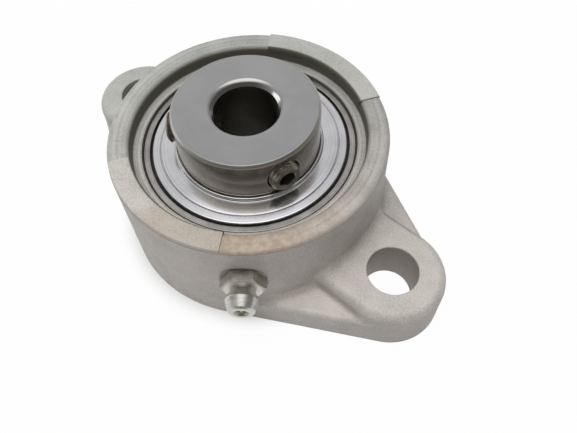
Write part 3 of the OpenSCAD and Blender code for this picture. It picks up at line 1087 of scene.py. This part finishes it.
def outerRingPiece(v):
    half = shared["ringHalf"]
    face = math.sqrt(shared["ringR"]**2 - half**2)
    bay = face - v["faceWidth"]
    land = bay - v["bayStep"]
    skin = arc(shared["ringR"], half, -half, v["skinSteps"])
    trim = v["skinTrim"]
    corners = [
        (land, 0, 0),
        (land, v["sealInner"], 0),
        (bay + v["sealBite"], v["sealInner"], 0),
        (bay + v["sealBite"], v["sealOuter"], 0),
        (bay, v["sealOuter"], v["sealEdge"]),
        (bay, half, v["edge"]),
        (face, half, v["edge"]),
        tuple(skin[2 * trim]) + (0,),
    ]
    upper = softened(corners)[1:-1]
    lower = [Vector((p.x, -p.y)) for p in reversed(upper)]
    outline = upper + skin[trim:-trim] + lower + ballGroove(raceway, land, 1)
    ring = lathe("outerRingTurned", outline, [finishes["ring"]], v["segments"], shared["centre"])
    start = Vector((0, 0, shared["centre"] + v["lubeZ"]))
    low, high = land - v["lubeSpare"], shared["ringR"] + v["lubeSpare"]
    for side in (1, -1):
        hole = plug("lubeHole", v["lubeR"], low, high, finishes["ring"], v["lubeSegments"])
        cut(ring, moveMesh(hole, axisFrame(Vector((side, 0, 0)), start)))
    return ring


ring = outerRingPiece(outerRing)
finishPiece(ring, "outer", ["outer_ring"])

innerRing = {
    "boreBevel": 1.0,
    "boreSlack": 0.02,  # faces this near the bore get its finish
    "collarBevel": 0.45,
    "holeR": 3.235,
    "holeSegments": 64,
    "sinkR": 3.75,
    "sink": (0.75, 0.15),  # depths of the countersink under the collar's side
    "soft": 0.25,
    "softSteps": 4,
    "mouthSoft": 1.5,
    "spare": 2.0,
    "segments": 224,
}
screwLow, screwHigh = nodeBox("set_screw_1")
screwCentre = Vector((0, 0, (screwLow.z + screwHigh.z) / 2))
screwFrames = [
    axisFrame(-Vector(jointNamed(name)["axis"]), screwCentre)
    for name in ("set_screw_1_travel", "set_screw_2_travel")
]


def screwHole(v):
    collar = shared["collarR"]
    inside, outside = v["sink"]
    outline = [
        (0, 0),
        (v["holeR"], 0),
        (v["holeR"], collar - inside),
        (v["sinkR"], collar - outside),
        (v["sinkR"], collar + v["spare"]),
        (0, collar + v["spare"]),
    ]
    return lathe("screwHole", outline, [finishes["bore"]], v["holeSegments"])


def innerRingPiece(v):
    centre = shared["centre"]
    low, high = collarLow.z - centre, collarHigh.z - centre
    bore, collar = shared["boreR"], shared["collarR"]

    def ringEnd(z, inward):
        b, c = v["boreBevel"], v["collarBevel"]
        return [
            (collar, z + inward * c, v["soft"]),
            (collar - c, z, v["soft"]),
            (bore + b, z, v["mouthSoft"]),
            (bore, z + inward * b, v["soft"]),
        ]

    groove = [tuple(p) + (0,) for p in ballGroove(raceway, collar, -1)]
    corners = ringEnd(low, 1)[::-1] + groove + ringEnd(high, -1)
    outline = softened(corners, v["softSteps"])
    materials = [finishes["collar"], finishes["bore"]]
    piece = lathe("innerRingCollar", outline, materials, v["segments"], centre)
    for face in piece.data.polygons:
        if face.center.xy.length < bore + v["boreSlack"]:
            face.material_index = 1
    for place in screwFrames:
        cut(piece, moveMesh(screwHole(v), place))
    return piece


inner = innerRingPiece(innerRing)
finishPiece(inner, "inner", ["inner_ring"])

slinger = {
    "grip": 0.03,
    "lipHigh": 1.9,
    "lipRound": 0.27,
    "sheet": 0.6,
    "soft": 0.15,
    "domeR": 15.9,  # the dome is level here and falls out to the notch
    "dome": 0.48,
    "domeFall": 0.11,
    "domeRounds": (0.4, 0.3),
    "domeSteps": 12,
    "notchR": 18.40,
    "notch": 0.40,
    "notchSoft": (0.06, 0.04),
    "step": 1.05,
    "flangeFall": 0.09,  # the outer flange falls by this much out to its rolled edge
    "hem": -0.12,
    "hemRounds": (0.1, 0.35),  # inside and outside
    "segments": 256,
}


def slingerPiece(name, v, flipped):
    high = nodeBox("front_slinger")[1]
    base = high.z - v["lipHigh"] - shared["centre"]
    inside = shared["collarR"] + v["grip"]
    lip = inside + v["sheet"]
    edge = high.x
    t, soft = v["sheet"], v["soft"]
    brim = v["step"] - v["flangeFall"]
    corners = [
        (inside, 0, soft),
        (v["domeR"], 0, v["domeRounds"][0]),
        (v["notchR"], v["dome"] - v["domeFall"], v["domeRounds"][1]),
        (edge - t, brim - t, v["hemRounds"][0]),
        (edge - t, v["hem"], soft),
        (edge, v["hem"], soft),
        (edge, brim, v["hemRounds"][1]),
        (v["notchR"] + v["notch"], v["step"], v["notchSoft"][0]),
        (v["notchR"] + v["notch"] / 2, v["step"] - v["notch"], v["notchSoft"][1]),
    ]
    for out in np.linspace(1, 0, v["domeSteps"]):
        across = v["domeR"] + out * (v["notchR"] - v["domeR"])
        corners.append((across, t + v["dome"] - v["domeFall"] * out**3, 0))
    corners += [
        (lip, t + v["dome"], soft),
        (lip, v["lipHigh"], v["lipRound"]),
        (inside, v["lipHigh"], v["lipRound"]),
    ]
    piece = lathe(name, softened(corners), [finishes["slinger"]], v["segments"], base)
    if flipped:
        moveMesh(piece, Matrix.Rotation(math.pi, 4, "X"))
    return moveMesh(piece, Matrix.Translation((0, 0, shared["centre"])))


frontSlinger = slingerPiece("frontSlingerPressed", slinger, False)
finishPiece(frontSlinger, "inner", ["front_slinger"])
rearSlinger = slingerPiece("rearSlingerPressed", slinger, True)
finishPiece(rearSlinger, "inner", ["rear_slinger"])
print("insert turned")


# set screws, threaded by a node tree

setScrew = {
    "radius": 3.175,
    "length": 8.0,
    "proud": 1.2,  # how far it stands out of the collar
    "pitch": 0.907,  # 28 threads to the inch
    "depth": 0.42,
    "flat": 0.1,  # share of the thread that is flat at the crest, and at the root
    "bevel": 0.5,
    "socketFlats": 3.175,
    "socketDepth": 3.4,
    "mouth": 0.05,  # the socket's cone meets its corners at this depth
    "mouthReach": 0.3,
    "cupR": 1.35,
    "cupDepth": 0.9,
    "spare": 0.2,
    "around": 96,
    "along": 160,
    "segments": 64,
}


def newTree(name, floats):
    # node tree with named sizes and a finish going in and one shape coming out
    tree = bpy.data.node_groups.new(name, "GeometryNodeTree")
    kinds = dict.fromkeys(floats, "NodeSocketFloat")
    kinds.update(around="NodeSocketInt", along="NodeSocketInt", finish="NodeSocketMaterial")
    for size, kind in kinds.items():
        tree.interface.new_socket(size, in_out="INPUT", socket_type=kind)
    tree.interface.new_socket("shape", in_out="OUTPUT", socket_type="NodeSocketGeometry")
    given = tree.nodes.new("NodeGroupInput")
    return tree, [Flow(tree, given.outputs[size]) for size in kinds]


def closeTree(tree, shape, finish):
    real = shape.node("GeometryNodeRealizeInstances", {}, {"Geometry": shape})
    dressed = shape.node("GeometryNodeSetMaterial", {}, {"Geometry": real, "Material": finish})
    out = tree.nodes.new("NodeGroupOutput")
    feed(out.inputs, shape=dressed)
    return tree


def threadTree():
    tree, given = newTree("threadedRod", ("radius", "length", "pitch", "depth", "flat", "bevel"))
    radius, length, pitch, depth, flat, bevel, around, along, finish = given
    flow = Flow(tree)
    sockets = {"Vertices": around, "Side Segments": along, "Radius": radius, "Depth": length}
    rod = flow.node("GeometryNodeMeshCylinder", {"fill_type": "NGON"}, sockets)
    x, y, z = coordinates(flow.node("GeometryNodeInputPosition", {}, {}))
    phase = flow.maths("FRACT", z / pitch - angleRound(x, y) / (2 * math.pi))
    ridge = flow.maths("ABSOLUTE", phase - 0.5) * 2
    ridge = (ridge - flat) / (1 - flat * 2)
    ridge = flow.maths("MINIMUM", flow.maths("MAXIMUM", ridge, 0.0), 1.0)
    chamfer = radius - bevel + (length / 2 - flow.maths("ABSOLUTE", z))
    reach = flow.maths("MINIMUM", radius - depth * (1 - ridge), chamfer)
    scale = reach / radius
    moved = flow.node("ShaderNodeCombineXYZ", {}, {0: x * scale, 1: y * scale, 2: z})
    turned = flow.node("GeometryNodeSetPosition", {}, {"Geometry": rod, "Position": moved})
    return closeTree(tree, turned, finish)


def coilTree():
    tree, given = newTree("wireCoil", ("radius", "length", "turns", "wire"))
    radius, length, turns, wire, around, along, finish = given
    flow = Flow(tree)
    sockets = {"Resolution": along, "Rotations": turns, "Height": length}
    sockets.update({"Start Radius": radius, "End Radius": radius})
    path = flow.node("GeometryNodeCurveSpiral", {}, sockets)
    sockets = {"Resolution": around, "Radius": wire / 2}
    section = flow.node("GeometryNodeCurvePrimitiveCircle", {}, sockets)
    sockets = {"Curve": path, "Profile Curve": section, "Fill Caps": True}
    return closeTree(tree, flow.node("GeometryNodeCurveToMesh", {}, sockets), finish)


def treePiece(name, tree, values):
    piece = newPiece(name, [], [], [])
    step = piece.modifiers.new("shape", "NODES")
    step.node_group = tree
    for item in tree.interface.items_tree:
        if item.in_out == "INPUT":
            step[item.identifier] = values[item.name]
    applyModifiers(piece)
    tidyMesh(piece)
    return piece


threadedRod = threadTree()
wireCoil = coilTree()


def setScrewPiece(name, place, v):
    finish = brightSteel(name + "Steel", screwFinish, place)
    screw = treePiece(name, threadedRod, {**v, "finish": finish})
    top, spare = v["length"] / 2, v["spare"]
    ring = hexagon(v["socketFlats"], math.pi / 6)
    cut(screw, prism("socket", ring, top - v["socketDepth"], top + spare, finish))
    wide, reach = v["socketFlats"] / math.sqrt(3), v["mouthReach"]
    low, high = top - v["mouth"] - reach, top - v["mouth"] + reach
    mouth = [(0, low), (wide - reach, low), (wide + reach, high), (0, high)]
    cup = [(0, v["cupDepth"] - top), (v["cupR"], -top - spare), (0, -top - spare)]
    for outline in (mouth, cup):
        cut(screw, lathe("hollow", outline, [finish], v["segments"]))
    return moveMesh(screw, place @ Matrix.Translation((0, 0, shared["collarR"] + v["proud"] - top)))


screwBodies = {"first_screw": "firstSetScrew", "second_screw": "secondSetScrew"}
for k, (body, name) in enumerate(screwBodies.items()):
    screw = setScrewPiece(name, screwFrames[k], setScrew)
    finishPiece(screw, body, ["set_screw_" + str(k + 1)])
print("set screws threaded")


# grease nipple

def nippleHexagon(v, finish):
    top = v["hexThick"]
    body = prism("greaseNippleBody", hexagon(v["hexFlats"]), 0, top, finish)
    edge = body.modifiers.new("edge", "BEVEL")
    edge.width = v["hexEdge"]
    edge.segments = v["edgeSteps"]
    applyModifiers(body)
    out = v["hexFlats"] / math.sqrt(3) + v["spare"]
    drop = (out - v["hexTop"]) * math.tan(math.radians(v["hexFall"]))
    outline = [(0, -v["spare"]), (out, -v["spare"]), (out, top - drop), (v["hexTop"], top), (0, top)]
    join(body, lathe("cone", outline, [finish], v["segments"]), "INTERSECT")
    return body


def nipplePiece(v):
    hexFinish = brightSteel("nippleHexSteel", nippleHexFinish, nippleFrame)
    headFinish = brightSteel("nippleHeadSteel", nippleHeadFinish, nippleFrame)
    body = nippleHexagon(v, hexFinish)
    head = [(radius, v["length"] - depth, soft) for radius, depth, soft in v["head"]]
    shank = [
        (v["wayR"], -v["shankLength"], 0),
        (v["shankR"], -v["shankLength"], v["shankRound"]),
        (v["shankR"], v["sunk"], 0),
        (head[0][0], v["sunk"], 0),
    ]
    outline = softened(shank + head)
    join(body, lathe("turned", outline, [headFinish], v["segments"]), "UNION")
    low, high = -v["shankLength"] - v["spare"], v["length"] - v["spare"]
    cut(body, plug("way", v["wayR"], low, high, headFinish, v["waySegments"]))
    return moveMesh(body, nippleFrame)


nippleBody = nipplePiece(nipple)
finishPiece(nippleBody, "housing", ["grease_nipple"])
print("nipple made")

checkSpring = {"wire": 0.3, "turns": 6.0, "around": 12, "along": 40}
finishes["spring"] = brightSteel("springSteel", springFinish, nippleFrame)


def springPiece(v):
    # coil between its seat and the check ball, which it gives way to
    back = nippleFrame.inverted()
    corners = frame["nodes"]["nipple_spring"].data.vertices
    points = [back @ (corner.co / mm) for corner in corners]
    low, high = min(p.z for p in points), max(p.z for p in points)
    values = {
        **v,
        "radius": max(p.xy.length for p in points) - v["wire"] / 2,
        "length": high - low - v["wire"],
        "finish": finishes["spring"],
    }
    coil = treePiece("checkSpringCoil", wireCoil, values)
    moveMesh(coil, nippleFrame @ Matrix.Translation((0, 0, low + v["wire"] / 2)))
    coil.data.transform(Matrix.Scale(mm, 4))
    coil.data.shade_smooth()
    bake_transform(coil)
    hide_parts("nipple_spring")
    print("  ", coil.name, len(coil.data.polygons), "faces between housing and check_ball")


springPiece(checkSpring)


# finishes of the pieces that stay as they are

plainNodes = {
    "cage": ["cage_front", "cage_rear", "cage_rivets"],
    "rubber": ["front_seal", "rear_seal"],
    "ball": ["nipple_check_ball"] + [name for name in frame["nodes"] if name.startswith("ball_")],
    "spring": ["nipple_spring_seat"],
}
for finish, names in plainNodes.items():
    for name in names:
        for place in frame["nodes"][name].material_slots:
            place.material = finishes[finish]
print("inner pieces finished")


# studio

studio = {
    "floorSize": 6.0,
    "floorDrop": 0.00002,
    "floorColour": grey(0.60),
    "floorGlow": 0.97,  # share of plain white that the eye and the metal see
    "floorBare": (0.026, 0.034),  # nearer the shaft's line the floor is only lit
    "backdropGlow": 0.97,
    "backdropTop": (0.03, 0.14),  # metal sees the white backdrop up to here
    "skyLow": (0.112, 0.103, 0.090, 1),
    "skyHigh": (0.50, 0.50, 0.505, 1),
    "skyTop": (-0.38, 0.28, 0.88),  # where the sky is brightest
    "skyRise": (0.26, 0.98),
    "lobes": [
        # direction, how near to it the light starts and is full, colour
        ((-0.62, 0.70, 0.30), (0.62, 0.98), (0.25, 0.25, 0.258, 1)),
        ((-0.85, -0.45, 0.28), (0.40, 0.98), (0.16, 0.175, 0.165, 1)),
        ((0.0, -0.053, 0.998), (0.82, 0.97), (1.24, 1.22, 1.215, 1)),
    ],
    "lampAim": (0, 0, 0.01),
    "lamps": [
        # name, place, size, watts, colour, whether metal mirrors it
        ("topSoftbox", (0.0, -0.04, 0.75), (0.40, 0.40), 3.75, (1.0, 0.985, 0.975), False),
        ("leftSoftbox", (-0.75, -0.35, 0.28), (0.40, 0.30), 0.7, (0.98, 1.0, 0.985), True),
    ],
}


def raysSeen(flow):
    # rays straight from the eye, and those that metal or glass sends on
    names = ("Is Camera Ray", "Is Glossy Ray", "Is Transmission Ray")
    kinds = [flow.node("ShaderNodeLightPath", {}, {}, out=name) for name in names]
    return kinds[0], kinds[1] + kinds[2]


def makeFloor(v):
    half = v["floorSize"] / 2
    corners = [(-half, -half, 0), (half, -half, 0), (half, half, 0), (-half, half, 0)]
    material, flow = startMaterial("paperFloor")[:2]
    tree = material.node_tree
    tree.nodes.remove(tree.nodes["Principled BSDF"])
    x, y = coordinates(flow)[:2]
    paper = flow.node("ShaderNodeBsdfDiffuse", {}, {"Color": v["floorColour"]})
    white = flow.node("ShaderNodeEmission", {}, {"Color": grey(1.0), "Strength": 1.0})
    straight, sentOn = raysSeen(flow)
    share = flow.maths("MINIMUM", straight + sentOn, 1.0)
    share = share * ease(distance(x, y), *v["floorBare"], 0.0, v["floorGlow"])
    mixed = flow.node("ShaderNodeMixShader", {}, {0: share, 1: paper, 2: white})
    feed(tree.nodes["Material Output"].inputs, Surface=mixed)
    floor = newPiece("paperFloor", corners, [(0, 1, 2, 3)], [material])
    floor.location.z = -v["floorDrop"]


def makeWorld(v):
    world = bpy.data.worlds.new("studio")
    bpy.context.scene.world = world
    world.use_nodes = True
    tree = world.node_tree
    flow = Flow(tree)
    look = flow.node("ShaderNodeTexCoord", {}, {}, out="Generated")

    def near(direction, reach):
        return ease(alongLine(look, Vector(direction).normalized()), *reach)

    colour = mixColour(near(v["skyTop"], v["skyRise"]), v["skyLow"], v["skyHigh"])
    for direction, reach, light in v["lobes"]:
        colour = mixColour(near(direction, reach), colour, light, "ADD")
    sky = tree.nodes["Background"]
    feed(sky.inputs, Color=colour)
    straight, sentOn = raysSeen(flow)
    low = fade(coordinates(look)[2], *v["backdropTop"])
    share = flow.maths("MINIMUM", straight + sentOn * low, 1.0)
    sockets = {"Color": grey(1.0), "Strength": v["backdropGlow"]}
    white = flow.node("ShaderNodeBackground", {}, sockets)
    sockets = {0: share, 1: Flow(tree, sky.outputs[0]), 2: white}
    mixed = flow.node("ShaderNodeMixShader", {}, sockets)
    feed(tree.nodes["World Output"].inputs, Surface=mixed)


def makeLamps(v):
    for name, place, size, watts, colour, mirrored in v["lamps"]:
        lamp = bpy.data.lights.new(name, "AREA")
        lamp.shape = "RECTANGLE"
        lamp.size, lamp.size_y = size
        lamp.energy = watts
        lamp.color = colour
        holder = bpy.data.objects.new(name, lamp)
        bpy.context.collection.objects.link(holder)
        holder.visible_glossy = mirrored
        away = Vector(place) - Vector(v["lampAim"])
        turn = away.to_track_quat("Z", "Y").to_matrix().to_4x4()
        holder.matrix_world = Matrix.Translation(place) @ turn


makeFloor(studio)
makeWorld(studio)
makeLamps(studio)
bpy.context.scene.view_settings.view_transform = "Standard"
print("studio lit")
